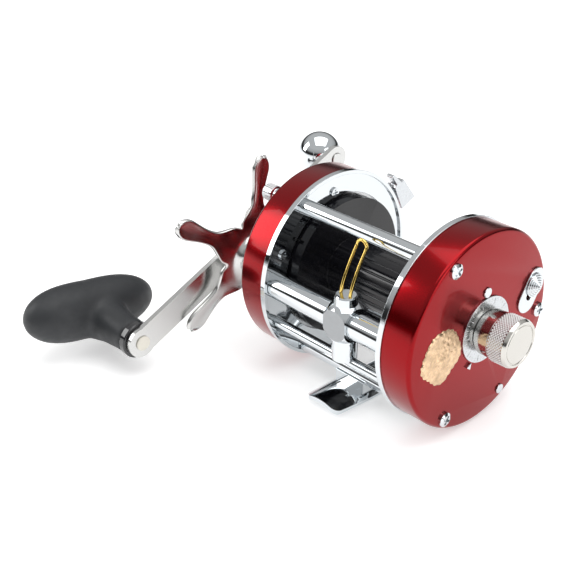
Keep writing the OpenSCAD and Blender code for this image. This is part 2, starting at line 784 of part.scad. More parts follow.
module star_arm_plan() {
    neck = 3.2;
    polygon(concat([[0, -5.4], [star_hub_r + 1, -4.6], [star_hub_r + 6, -neck / 2 - 0.4],
        [star_r - 2.6 * star_tip_r, -neck / 2 - 0.5]],
        arc(star_r - star_tip_r, 0, star_tip_r, -120, 120, 12),
        [[star_r - 2.6 * star_tip_r, neck / 2 + 0.5], [star_hub_r + 6, neck / 2 + 0.4],
        [star_hub_r + 1, 4.6], [0, 5.4]]));
}

module star_profile() {
    steps = 8;
    bent = [for (i = [0 : steps]) let (u = i / steps)
        [star_hub_r - 1 + u * (star_r - star_hub_r + 1), -star_bend * u * u]];
    polygon(concat([for (p = bent) [p.x, p.y]],
        [for (i = [steps : -1 : 0]) [bent[i].x, bent[i].y + star_t]]));
}

module star_wheel() color("lightgray") difference() {
    union() {
        rod_x(star_hub_x, star_hub_x + star_hub_len, star_hub_r, crank_y);
        for (i = [0 : star_arms - 1])
            on_x(star_root_x, crank_y) rotate(star_angle + i * 360 / star_arms)
                intersection() {
                    translate([0, 0, -10]) linear_extrude(20) star_arm_plan();
                    translate([0, 10, 0]) rotate([90, 0, 0]) linear_extrude(20) star_profile();
                }
    }
    rod_x(star_hub_x - 1, star_hub_x + star_hub_len + 1, drive_shaft_r + run_gap, crank_y);
}

module star_spring() color("silver") difference() {
    rod_x(handle_face - bushing_len - 0.2, star_hub_x + star_hub_len + 0.2, 4.6, crank_y);
    rod_x(handle_face, star_hub_x, drive_shaft_r + run_gap, crank_y);
}

// ---- Knob, cap, buttons ----

module brake_knob() color("gainsboro") {
    inner = palm_face + dial_t + 0.3;
    end = palm_face + knob_out;
    turned([[6 + run_gap, inner], [knob_r - 1.6, inner], [knob_r - 1.6, inner + 1],
        [knob_r - 0.6, inner + 1.3], [knob_r - 0.6, inner + 5], [knob_r, inner + 5.4],
        [knob_r, end - 1.1], [knob_r - 1.1, end], [0, end], [0, palm_face + boss_out + 0.4],
        [6 + run_gap, palm_face + boss_out + 0.4]], spool_y);
}

module tension_cap() color("gainsboro") {
    base = handle_face - 0.3;
    turned([[6.6 + run_gap, base], [8.6, base], [8.6, base - 4.6], [7.6, base - 5.4],
        [0, base - 5.4], [0, base - 3], [6.6 + run_gap, base - 3]], spool_y);
}

module click_rest() {
    s = -click_travel / 2 * polar(1, click_line);
    on_x(0, click_spot.x - s.x, click_spot.y - s.y) children();
}

module click_button() color("gainsboro") click_rest() {
    translate([0, 0, palm_face + 0.8]) cylinder(h = 1, r = click_button_r);
    translate([0, 0, palm_face + 1.8]) cylinder(h = 1.4, r1 = click_button_r - 0.4, r2 = 1.4);
    translate([0, 0, palm_face - cup_wall - 2]) cylinder(h = cup_wall + 2.9, r = 1.4);
}

module click_tongue() color("silver") click_rest()
    translate([0, 0, plate_out + 0.7]) {
        cylinder(h = palm_face - cup_wall - plate_out - 2.7, r = 1.4);
        rotate(196) translate([0, -0.6, 0]) cube([14, 1.2, 1.1]);
    }

module release_lever() color("gainsboro")
    at_angles([lever_angle], 0) translate([0, 0, -plate_out - 4.4]) {
        translate([cup_r - 8, -5, 0]) cube([12, 10, 1.4]);
        linear_extrude(3.4) translate([cup_r, 0]) polygon([[3.4, -7.3], [11.2, -7.4],
            [8.8, 3.2], [7.2, 3.6], [5.2, 8.4], [3.9, 8.2], [4.8, 4], [3.4, 3.2]]);
    }

module clutch_yoke() color("silver") difference() {
    translate([bridge_x - 2.6, spool_y - 2.6, centre_z - 8]) cube([0.8, 12, 16]);
    rod_x(bridge_x - 4, bridge_x, 3.3, spool_y);
    translate([bridge_x - 4, spool_y - 4, centre_z - 3.3]) cube([4, 4, 6.6]);
}

module reverse_stop() color("silver") difference() {
    on_x(ratchet_x, crank_y) rotate(stop_angle) linear_extrude(ratchet_t)
        polygon([[ratchet_r + 0.3, -1], [ratchet_r + 0.3, 1], [stop_reach + 2, 1.8],
            [stop_reach + 2, -1.8]]);
    rod_x(ratchet_x - 1, ratchet_x + 3, stop_pin_r + run_gap, stop_y, stop_z);
}

handle_frame_plate();
palm_frame_plate();
pillar_top();
pillar_rear();
pillar_foot_front();
pillar_foot_rear();
guide_rod();
level_wind_tube();
reel_foot();
foot_cradles();
foot_rivets();
palm_cover();
handle_cover();
palm_screws();
thumb_screws();
plate_screws();
palm_rivets();
badge();
dial();
dial_pointer();
click_plate();
palm_bearing();
handle_bearing();
bridge_plate();
crank_bushing();
spool();
spool_shaft();
pinion();
click_gear();
brake_blocks();
drive_shaft();
ratchet_wheel();
wind_drive_gear();
main_gear();
drag_washers();
crank_arm();
crank_nut();
counterweight();
counterweight_rivet();
grip_spindle();
star_wheel();
star_spring();
grip();
grip_collar();
worm_shaft();
wind_gear();
line_carriage();
line_guide();
pawl();
pawl_cap();
brake_knob();
tension_cap();
click_button();
click_tongue();
release_lever();
clutch_yoke();
reverse_stop();
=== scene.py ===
"""A round baitcasting reel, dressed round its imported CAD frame."""
import json
import math

import bmesh
import bpy
from bpy.props import FloatProperty, FloatVectorProperty, IntProperty, PointerProperty
from mathutils import Matrix, Vector, noise


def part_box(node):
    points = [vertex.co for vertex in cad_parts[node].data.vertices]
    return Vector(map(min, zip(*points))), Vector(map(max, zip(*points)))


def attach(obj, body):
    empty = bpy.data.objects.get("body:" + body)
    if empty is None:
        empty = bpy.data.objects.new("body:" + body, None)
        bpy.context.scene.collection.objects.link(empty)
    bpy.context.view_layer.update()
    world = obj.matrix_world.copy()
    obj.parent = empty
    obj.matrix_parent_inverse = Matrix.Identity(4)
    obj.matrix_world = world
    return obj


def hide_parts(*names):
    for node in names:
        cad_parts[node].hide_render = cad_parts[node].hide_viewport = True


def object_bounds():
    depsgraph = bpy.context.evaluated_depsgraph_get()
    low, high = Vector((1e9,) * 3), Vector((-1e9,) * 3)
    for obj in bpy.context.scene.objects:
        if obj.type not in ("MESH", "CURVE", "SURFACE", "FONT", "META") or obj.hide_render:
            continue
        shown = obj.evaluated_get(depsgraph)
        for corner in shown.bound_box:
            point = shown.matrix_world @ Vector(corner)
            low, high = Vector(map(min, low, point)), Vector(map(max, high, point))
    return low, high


bl_info = {
    "name": "Baitcasting reel",
    "version": (1, 0, 0),
    "blender": (4, 5, 0),
    "location": "3D View > Sidebar > Reel",
    "description": "Dresses a packed baitcasting reel with its finished pieces and materials",
    "category": "Object",
}

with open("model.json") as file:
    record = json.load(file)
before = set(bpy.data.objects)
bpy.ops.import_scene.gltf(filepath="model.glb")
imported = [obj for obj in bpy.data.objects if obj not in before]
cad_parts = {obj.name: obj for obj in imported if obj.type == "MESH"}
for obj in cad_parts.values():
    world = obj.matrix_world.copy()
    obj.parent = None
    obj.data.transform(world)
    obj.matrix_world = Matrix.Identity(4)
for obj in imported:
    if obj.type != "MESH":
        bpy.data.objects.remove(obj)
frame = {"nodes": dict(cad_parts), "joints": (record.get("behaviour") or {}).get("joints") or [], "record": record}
CAD_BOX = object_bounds()
MM = 0.001


# ---- Places, read from the frame, in millimetres ----

def span(node, axis):
    low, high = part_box(node)
    return low[axis] / MM, high[axis] / MM


def middle(node, axis):
    low, high = span(node, axis)
    return (low + high) / 2


def joint_place(name):
    joint = next(j for j in frame["joints"] if j["name"] == name)
    return tuple(v / MM for v in joint["pos_m"][1:])


SPOOL_AXIS = joint_place("spool_spin")
CRANK_AXIS = joint_place("crank_turn")
WORM_AXIS = joint_place("worm_spin")
GRIP_AXIS = joint_place("grip_spin")
PLATE_AXIS = (middle("palm_frame_plate", 1), middle("palm_frame_plate", 2))
PALM_BOSS_OUT = 2.4
HANDLE_COVER_DEPTH = 11.2
PALM_FACE = span("palm_cover", 0)[1] - PALM_BOSS_OUT
HANDLE_FACE = span("handle_frame_plate", 0)[0] - HANDLE_COVER_DEPTH
DIAL_TOP = span("dial", 0)[1]
KNOB_END = span("brake_knob", 0)[1]
KNOB_R = (span("brake_knob", 2)[1] - span("brake_knob", 2)[0]) / 2
ARM_OUT, ARM_IN = span("crank_arm", 0)


# ---- Settings ----

def length(name, text, value, **more):
    return FloatProperty(name=name, description=text, default=value, min=0.0, **more)


def colour(name, text, value):
    return FloatVectorProperty(name=name, description=text, subtype="COLOR", size=3,
                               min=0.0, max=1.0, default=value)


class CoverSettings(bpy.types.PropertyGroup):
    red: colour("Anodised red", "Colour of the two covers", (0.27, 0.002, 0.005))


class KnobSettings(bpy.types.PropertyGroup):
    knurl_count: IntProperty(name="Knurl columns", description="Diamonds round the brake knob",
                             default=46, min=12, max=90)
    knurl_rows: IntProperty(name="Knurl rows", description="Diamonds along the brake knob",
                            default=6, min=2, max=14)
    tick_count: IntProperty(name="Dial marks", description="Marks round the brake dial",
                            default=40, min=8, max=80)


class StarSettings(bpy.types.PropertyGroup):
    blades: IntProperty(name="Blades", description="Blades of the drag star", default=5, min=3, max=7)
    first_angle: FloatProperty(name="First blade", description="Angle of the first blade",
                               default=math.radians(76), subtype="ANGLE")
    thickness: length("Blade thickness", "Thickness of a drag star blade, in mm", 1.7)


class GripSettings(bpy.types.PropertyGroup):
    voxel: length("Grip voxel", "Cell size used to blend the grip's bar into its stem, in mm", 0.9)
    rubber: colour("Grip", "Colour of the grip", (0.020, 0.022, 0.025))


class GuideSettings(bpy.types.PropertyGroup):
    wire_r: length("Wire radius", "Radius of the line guide's wire, in mm", 0.55)
    gold: colour("Wire", "Colour of the line guide's wire", (0.86, 0.60, 0.16))


class StageSettings(bpy.types.PropertyGroup):
    azimuth: FloatProperty(name="Azimuth", description="Camera angle round the reel",
                           default=math.radians(47.70), subtype="ANGLE")
    elevation: FloatProperty(name="Elevation", description="Camera angle above the horizon",
                             default=math.radians(27.97), subtype="ANGLE")
    roll: FloatProperty(name="Roll", description="Camera roll", default=math.radians(-0.2), subtype="ANGLE")
    distance: length("Distance", "Camera distance from its aim, in mm", 349.9)
    lens: length("Lens", "Focal length of the camera, in mm", 64.53)
    pan_right: FloatProperty(name="Pan right", description="Aim to the right of the reel's middle, in mm",
                             default=-34.82)
    pan_up: FloatProperty(name="Pan up", description="Aim above the reel's middle, in mm", default=0.36)


# ---- Materials ----

class Finish:
    """A Principled material whose nodes are added step by step."""

    def __init__(self, name, base, metallic=0.0, roughness=0.4, **sockets):
        self.material = bpy.data.materials.new(name)
        self.material.use_nodes = True
        self.tree = self.material.node_tree
        self.shader = self.tree.nodes["Principled BSDF"]
        self.base = base
        self.set("Base Color", (*base, 1.0))
        self.set("Metallic", metallic)
        self.set("Roughness", roughness)
        for socket, value in sockets.items():
            self.set(socket.replace("_", " ").title().replace("Ior", "IOR"), value)
        self.coords = self.tree.nodes.new("ShaderNodeTexCoord").outputs["Object"]

    def set(self, socket, value):
        self.shader.inputs[socket].default_value = value

    def noise(self, scale, detail=4.0, stretch=(1, 1, 1)):
        mapping = self.tree.nodes.new("ShaderNodeMapping")
        mapping.inputs["Scale"].default_value = stretch
        texture = self.tree.nodes.new("ShaderNodeTexNoise")
        texture.inputs["Scale"].default_value = scale
        texture.inputs["Detail"].default_value = detail
        self.tree.links.new(self.coords, mapping.inputs["Vector"])
        self.tree.links.new(mapping.outputs["Vector"], texture.inputs["Vector"])
        return texture.outputs["Fac"]

    def ranged(self, value, low, high, start=0.3, stop=0.7):
        node = self.tree.nodes.new("ShaderNodeMapRange")
        node.inputs["From Min"].default_value = start
        node.inputs["From Max"].default_value = stop
        node.inputs["To Min"].default_value = low
        node.inputs["To Max"].default_value = high
        self.tree.links.new(value, node.inputs["Value"])
        return node.outputs["Result"]

    def rough(self, scale, low, high, **more):
        self.tree.links.new(self.ranged(self.noise(scale, **more), low, high),
                            self.shader.inputs["Roughness"])
        return self

    def tint(self, scale, darker, **more):
        mix = self.tree.nodes.new("ShaderNodeMix")
        mix.data_type = "RGBA"
        mix.inputs["A"].default_value = (*self.base, 1.0)
        mix.inputs["B"].default_value = (*(c * darker for c in self.base), 1.0)
        self.tree.links.new(self.ranged(self.noise(scale, **more), 0, 1), mix.inputs["Factor"])
        self.tree.links.new(mix.outputs["Result"], self.shader.inputs["Base Color"])
        return self

    def bump(self, scale, depth, **more):
        node = self.tree.nodes.new("ShaderNodeBump")
        node.inputs["Strength"].default_value = 1.0
        node.inputs["Distance"].default_value = depth * MM
        self.tree.links.new(self.noise(scale, **more), node.inputs["Height"])
        self.tree.links.new(node.outputs["Normal"], self.shader.inputs["Normal"])
        return self


def make_finishes(settings):
    red = settings.covers.red
    finishes = {
        "chrome": Finish("mirror chrome", (0.66, 0.69, 0.71), 1.0, 0.05)
        .rough(90, 0.03, 0.07),
        "red_anodised": Finish("red anodised", tuple(red), 1.0, 0.22, coat_weight=0.25, coat_roughness=0.06)
        .rough(60, 0.2, 0.26).tint(30, 0.9),
        "badge_gold": Finish("medallion gold", (0.84, 0.60, 0.38), 1.0, 0.3)
        .rough(700, 0.22, 0.42).tint(500, 0.6).bump(700, 0.12),
        "satin_dial": Finish("satin dial", (0.58, 0.60, 0.62), 1.0, 0.24)
        .rough(900, 0.2, 0.3),
        "nickel_knob": Finish("knurled nickel", (0.60, 0.585, 0.55), 1.0, 0.14)
        .rough(400, 0.1, 0.2),
        "steel": Finish("turned steel", (0.56, 0.57, 0.58), 1.0, 0.25)
        .rough(300, 0.2, 0.34, stretch=(8, 1, 1)),
        "satin_steel": Finish("satin steel", (0.60, 0.60, 0.59), 1.0, 0.22)
        .rough(120, 0.17, 0.25),
        "cream_rivet": Finish("cream washer", (0.80, 0.77, 0.68), 0.0, 0.35)
        .rough(500, 0.3, 0.45).tint(200, 0.9),
        "grip_rubber": Finish("soft grip", tuple(settings.grip.rubber), 0.0, 0.55)
        .rough(300, 0.46, 0.6).tint(120, 0.88).bump(2600, 0.02),
        "black_gloss": Finish("gloss black", (0.010, 0.010, 0.012), 0.0, 0.12, coat_weight=0.5)
        .rough(300, 0.08, 0.18),
        "black_spool": Finish("black spool", (0.006, 0.006, 0.008), 0.0, 0.12)
        .rough(200, 0.09, 0.16),
        "gear_brass": Finish("cut brass", (0.72, 0.50, 0.22), 1.0, 0.28)
        .rough(300, 0.22, 0.36).bump(900, 0.0015),
        "gear_plastic": Finish("moulded gear", (0.80, 0.78, 0.72), 0.0, 0.42)
        .rough(300, 0.36, 0.5).tint(100, 0.94),
        "drag_fibre": Finish("drag fibre", (0.06, 0.06, 0.06), 0.0, 0.6)
        .rough(600, 0.5, 0.7).tint(400, 0.7),
        "gold_wire": Finish("gold wire", tuple(settings.guide.gold), 1.0, 0.1)
        .rough(300, 0.07, 0.14),
        "brushed": Finish("brushed face", (0.34, 0.35, 0.36), 1.0, 0.36)
        .rough(700, 0.3, 0.44, stretch=(1, 1, 4)),
        "ink": Finish("dial ink", (0.03, 0.03, 0.03), 0.0, 0.5).rough(900, 0.4, 0.6),
    }
    return {name: finish.material for name, finish in finishes.items()}


def material(name):
    return bpy.data.materials[name]


SLOT_LOOKS = {"chrome": "mirror chrome", "red_anodised": "red anodised", "badge_gold": "medallion gold",
              "satin_dial": "satin dial", "nickel_knob": "knurled nickel", "steel": "turned steel",
              "satin_steel": "satin steel", "cream_rivet": "cream washer", "grip_rubber": "soft grip",
              "black_gloss": "gloss black", "black_spool": "black spool", "gear_brass": "cut brass",
              "gear_plastic": "moulded gear", "drag_fibre": "drag fibre", "gold_wire": "gold wire"}
SLOT_OF = {s["node"]: s["material_slot"] for s in frame["record"]["subparts"]}


# ---- Mesh helpers, all in millimetres until finished ----

def object_of(name, bm, scale=MM):
    mesh = bpy.data.meshes.new(name)
    bmesh.ops.scale(bm, vec=(scale,) * 3, verts=bm.verts)
    bm.to_mesh(mesh)
    bm.free()
    piece = bpy.data.objects.new(name, mesh)
    bpy.context.scene.collection.objects.link(piece)
    return piece


def smooth(piece, angle=32):
    piece.data.shade_smooth()
    piece.data.set_sharp_from_angle(angle=math.radians(angle))
    return piece


def applied(piece):
    """The piece with its modifiers turned into plain mesh."""
    graph = bpy.context.evaluated_depsgraph_get()
    mesh = bpy.data.meshes.new_from_object(piece.evaluated_get(graph), depsgraph=graph)
    piece.modifiers.clear()
    old, piece.data = piece.data, mesh
    bpy.data.meshes.remove(old)
    return piece


def edges(piece, width, segments=3, angle=32):
    bevel = piece.modifiers.new("Edges", "BEVEL")
    bevel.width = width * MM
    bevel.segments = segments
    bevel.limit_method = "ANGLE"
    bevel.angle_limit = math.radians(angle)
    bevel.harden_normals = True
    return piece


def finished(piece, look, body, *nodes):
    """Gives a piece its material, its body and the CAD nodes it stands for."""
    if look:
        piece.data.materials.clear()
        piece.data.materials.append(material(SLOT_LOOKS.get(look, look)))
    if body:
        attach(piece, body)
    if nodes:
        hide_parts(*nodes)
    return piece


def body_of(node):
    bodies = frame["record"]["behaviour"]["bodies"]
    return next(body for body, members in bodies.items() if node in members)


def softened(node, width):
    """A copy of a CAD node whose hard edges are rounded off."""
    bm = bmesh.new()
    bm.from_mesh(frame["nodes"][node].data)
    bmesh.ops.remove_doubles(bm, verts=bm.verts, dist=2e-6)
    bmesh.ops.dissolve_limit(bm, angle_limit=math.radians(0.4), verts=bm.verts, edges=bm.edges,
                             delimit={"NORMAL"})
    piece = object_of(node + "_finished", bm, 1.0)
    smooth(piece)
    edges(piece, width)
    return finished(piece, SLOT_OF[node], body_of(node), node)


def rounded(points, radii, steps=5):
    """A closed outline with its corners rounded: each corner has its own radius."""
    out = []
    count = len(points)
    for i, (point, radius) in enumerate(zip(points, radii)):
        here = Vector(point)
        back = Vector(points[i - 1]) - here
        ahead = Vector(points[(i + 1) % count]) - here
        half = back.angle(ahead) / 2
        cut = min(radius / math.tan(half), back.length / 2.01, ahead.length / 2.01) if radius else 0
        if cut < 1e-4:
            out.append(tuple(here))
            continue
        a, b = here + back.normalized() * cut, here + ahead.normalized() * cut
        for k in range(steps + 1):
            t = k / steps
            out.append(tuple(a * (1 - t) ** 2 + here * 2 * t * (1 - t) + b * t * t))
    return out


def turned(outline, axis, steps=96, bm=None):
    """A closed outline of (x, radius) points turned about a line along X."""
    bm = bm or bmesh.new()
    rings = []
    for x, r in outline:
        if r < 1e-6:
            rings.append([bm.verts.new((x, *axis))] * steps)
            continue
        rings.append([bm.verts.new((x, axis[0] + r * math.cos(a), axis[1] + r * math.sin(a)))
                      for a in (2 * math.pi * i / steps for i in range(steps))])
    for ring, other in zip(rings, rings[1:] + rings[:1]):
        for i in range(steps):
            j = (i + 1) % steps
            corners = []
            for v in (ring[i], ring[j], other[j], other[i]):
                if v not in corners:
                    corners.append(v)
            if len(corners) > 2:
                bm.faces.new(corners)
    bmesh.ops.recalc_face_normals(bm, faces=bm.faces)
    return bm


def tube(bm, path, radius, sides=16):
    """A round bar along a path of points, closed at both ends."""
    rings = []
    side = None
    for i, point in enumerate(path):
        ahead = (Vector(path[min(i + 1, len(path) - 1)]) - Vector(path[max(i - 1, 0)])).normalized()
        side = (ahead.orthogonal() if side is None else side - ahead * side.dot(ahead)).normalized()
        other = ahead.cross(side)
        rings.append([bm.verts.new(Vector(point) + radius * (side * math.cos(a) + other * math.sin(a)))
                      for a in (2 * math.pi * k / sides for k in range(sides))])
    for ring, nxt in zip(rings, rings[1:]):
        for k in range(sides):
            bm.faces.new((ring[k], ring[(k + 1) % sides], nxt[(k + 1) % sides], nxt[k]))
    bm.faces.new(list(reversed(rings[0])))
    bm.faces.new(rings[-1])
    return bm


def cut(piece, cutter, operation="DIFFERENCE"):
    boolean = piece.modifiers.new("Cut", "BOOLEAN")
    boolean.operation = operation
    boolean.solver = "EXACT"
    boolean.object = cutter
    bpy.context.view_layer.update()
    applied(piece)
    bpy.data.objects.remove(cutter)
    return piece


def block(low, high):
    bm = bmesh.new()
    bmesh.ops.create_cube(bm, size=1)
    for v in bm.verts:
        v.co = Vector([a + (c + 0.5) * (b - a) for a, b, c in zip(low, high, v.co)])
    return bm


# ---- Repeats round a shaft, made by Geometry Nodes ----

def ring_tree():
    tree = bpy.data.node_groups.new("Round a shaft", "GeometryNodeTree")
    face = tree.interface
    face.new_socket("Geometry", in_out="OUTPUT", socket_type="NodeSocketGeometry")
    face.new_socket("Geometry", in_out="INPUT", socket_type="NodeSocketGeometry")
    face.new_socket("Count", in_out="INPUT", socket_type="NodeSocketInt")
    face.new_socket("Step", in_out="INPUT", socket_type="NodeSocketFloat")
    face.new_socket("First", in_out="INPUT", socket_type="NodeSocketFloat")
    face.new_socket("Centre", in_out="INPUT", socket_type="NodeSocketVector")
    face.new_socket("Material", in_out="INPUT", socket_type="NodeSocketMaterial")
    nodes, links = tree.nodes, tree.links
    group_in, group_out = nodes.new("NodeGroupInput"), nodes.new("NodeGroupOutput")
    line = nodes.new("GeometryNodeMeshLine")
    line.inputs["Offset"].default_value = (0, 0, 0)
    links.new(group_in.outputs["Count"], line.inputs["Count"])
    links.new(group_in.outputs["Centre"], line.inputs["Start Location"])
    index = nodes.new("GeometryNodeInputIndex")
    angle = nodes.new("ShaderNodeMath")
    angle.operation = "MULTIPLY_ADD"
    links.new(index.outputs["Index"], angle.inputs[0])
    links.new(group_in.outputs["Step"], angle.inputs[1])
    links.new(group_in.outputs["First"], angle.inputs[2])
    turn = nodes.new("ShaderNodeCombineXYZ")
    links.new(angle.outputs["Value"], turn.inputs["X"])
    place = nodes.new("GeometryNodeInstanceOnPoints")
    links.new(line.outputs["Mesh"], place.inputs["Points"])
    links.new(group_in.outputs["Geometry"], place.inputs["Instance"])
    links.new(turn.outputs["Vector"], place.inputs["Rotation"])
    real = nodes.new("GeometryNodeRealizeInstances")
    links.new(place.outputs["Instances"], real.inputs["Geometry"])
    paint = nodes.new("GeometryNodeSetMaterial")
    links.new(real.outputs["Geometry"], paint.inputs["Geometry"])
    links.new(group_in.outputs["Material"], paint.inputs["Material"])
    links.new(paint.outputs["Geometry"], group_out.inputs["Geometry"])
    return tree


def repeated(piece, count, axis, look, first=0.0, step=None):
    """Repeats a piece, drawn about the X line through the origin, round a shaft."""
    tree = bpy.data.node_groups.get("Round a shaft") or ring_tree()
    modifier = piece.modifiers.new("Round a shaft", "NODES")
    modifier.node_group = tree
    values = {"Count": count, "Step": step or 2 * math.pi / count, "First": first,
              "Centre": (0.0, axis[0] * MM, axis[1] * MM), "Material": material(SLOT_LOOKS.get(look, look))}
    for item in tree.interface.items_tree:
        if item.in_out == "INPUT" and item.name in values:
            modifier[item.identifier] = values[item.name]
    return applied(piece)


def joined(name, *pieces):
    """One piece from several, each already in place."""
    bm = bmesh.new()
    looks = []
    for piece in pieces:
        start = len(bm.faces)
        bm.from_mesh(piece.data)
        look = piece.data.materials[0] if piece.data.materials else None
        if look not in looks:
            looks.append(look)
        bm.faces.ensure_lookup_table()
        for face in bm.faces[start:]:
            face.material_index = looks.index(look)
        bpy.data.objects.remove(piece)
    whole = object_of(name, bm, 1.0)
    for look in looks:
        whole.data.materials.append(look)
    return whole


def painted(piece, look):
    piece.data.materials.clear()
    piece.data.materials.append(material(SLOT_LOOKS.get(look, look)))
    return piece


# ---- Pieces ----

PLAIN_EDGES = {
    "handle_frame_plate": 0.22, "palm_frame_plate": 0.22, "pillar_top": 0.2, "pillar_rear": 0.2,
    "pillar_foot_front": 0.2, "pillar_foot_rear": 0.2, "guide_rod": 0.15, "level_wind_tube": 0.2,
    "reel_foot": 0.3, "foot_cradles": 0.2, "foot_rivets": 0.2, "palm_cover": 0.25, "handle_cover": 0.25,
    "palm_screws": 0.12, "plate_screws": 0.12, "palm_rivets": 0.25, "dial_pointer": 0.15,
    "click_plate": 0.2, "crank_bushing": 0.25, "bridge_plate": 0.12, "crank_arm": 0.4,
    "counterweight_rivet": 0.2, "grip_spindle": 0.2, "grip_collar": 0.5, "release_lever": 0.3,
    "pawl_cap": 0.3, "star_spring": 0.2, "dial": 0.12,
}


class REEL_OT_frame_pieces(bpy.types.Operator):
    """Round the edges of the machined pieces"""
    bl_idname = "reel.frame_pieces"
    bl_label = "Frame pieces"

    def execute(self, context):
        for node, width in PLAIN_EDGES.items():
            softened(node, width)
        painted(bpy.data.objects["release_lever_finished"], "satin dial")
        return {"FINISHED"}


class REEL_OT_spool(bpy.types.Operator):
    """Finish the fluted spool"""
    bl_idname = "reel.spool"
    bl_label = "Spool"

    def execute(self, context):
        softened("spool", 0.15)
        return {"FINISHED"}


class REEL_OT_brake_knob(bpy.types.Operator):
    """Make the knurled brake knob"""
    bl_idname = "reel.brake_knob"
    bl_label = "Brake knob"

    def execute(self, context):
        settings = context.scene.reel_knob
        base = DIAL_TOP + 0.15
        band = base + 1.2
        knurl_low, knurl_high = KNOB_END - 6.9, KNOB_END - 1.3
        neck = KNOB_R - 0.5
        outline = rounded(
            [(base, 0), (base, neck - 1.0), (band, neck - 1.0), (band + 0.25, neck), (knurl_low - 0.3, neck),
             (knurl_low, KNOB_R - 0.4), (knurl_high, KNOB_R - 0.4), (knurl_high + 0.1, KNOB_R - 0.05),
             (KNOB_END, KNOB_R - 0.6), (KNOB_END, KNOB_R - 1.5), (KNOB_END - 0.3, KNOB_R - 1.6),
             (KNOB_END - 0.3, KNOB_R - 1.9), (KNOB_END - 0.1, KNOB_R - 2.0), (KNOB_END - 0.1, 0)],
            [0, 0.2, 0.2, 0.1, 0.1, 0.1, 0.05, 0.1, 0.2, 0.1, 0.05, 0.05, 0.05, 0])
        body = painted(smooth(object_of("knob_body", turned(outline, SPOOL_AXIS, 128))), "nickel_knob")
        rows, count = settings.knurl_rows, settings.knurl_count
        pitch = (knurl_high - knurl_low) / rows
        half = math.pi / count
        bm = bmesh.new()
        low, top = KNOB_R - 0.46, KNOB_R + 0.0

        def at(x, angle, radius):
            return bm.verts.new((x, radius * math.cos(angle), radius * math.sin(angle)))

        for i in range(rows * 2 - 1):
            x = knurl_low + pitch / 2 * (i + 1)
            turn = half if i % 2 else 0
            peak = at(x, turn, top)
            corners = [at(x - pitch / 2, turn, low), at(x, turn + half, low), at(x + pitch / 2, turn, low),
                       at(x, turn - half, low)]
            for a, b in zip(corners, corners[1:] + corners[:1]):
                bm.faces.new((a, b, peak))
            bm.faces.new(list(reversed(corners)))
        bmesh.ops.recalc_face_normals(bm, faces=bm.faces)
        knurl = repeated(object_of("knurl", bm), count, SPOOL_AXIS, "nickel_knob")
        knob = joined("brake_knob_knurled", body, knurl)
        finished(knob, None, "brake_knob", "brake_knob")
        return {"FINISHED"}


class REEL_OT_dial(bpy.types.Operator):
    """Mark the brake dial"""
    bl_idname = "reel.dial"
    bl_label = "Dial marks"

    def execute(self, context):
        outer = (span("dial", 2)[1] - span("dial", 2)[0]) / 2
        top = DIAL_TOP
        count = context.scene.reel_knob.tick_count
        ticks = []
        for step, inner, wide in ((1, outer - 1.7, 0.16), (4, outer - 2.8, 0.24)):
            bm = block((top - 0.05, inner, -wide / 2), (top + 0.03, outer - 0.6, wide / 2))
            ticks.append(repeated(object_of("tick", bm), count // step, SPOOL_AXIS, "dial ink"))
        finished(joined("dial_marks", *ticks), None, "frame")
        return {"FINISHED"}


class REEL_OT_click(bpy.types.Operator):
    """Make the click button's stepped cone"""
    bl_idname = "reel.click"
    bl_label = "Click button"

    def execute(self, context):
        low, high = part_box("click_button")
        centre = ((low.y + high.y) / 2 / MM, (low.z + high.z) / 2 / MM)
        base, top = PALM_FACE + 0.75, high.x / MM
        rim = (high.z - low.z) / 2 / MM
        outline = [(low.x / MM, 0), (low.x / MM, 1.4), (base, 1.4), (base, rim)]
        steps = 6
        for i in range(steps):
            r = rim * (1 - 0.86 * i / (steps - 1))
            x = base + 0.5 + (top - base - 0.5) * i / (steps - 1)
            outline += [(x, r), (x, r - 0.36), (x - 0.12, r - 0.46)]
        outline += [(top - 0.1, 0)]
        piece = smooth(object_of("click_button_stepped", turned(outline, centre, 72)), 25)
        edges(piece, 0.06, 2)
        finished(piece, "chrome", "click_button", "click_button")
        return {"FINISHED"}


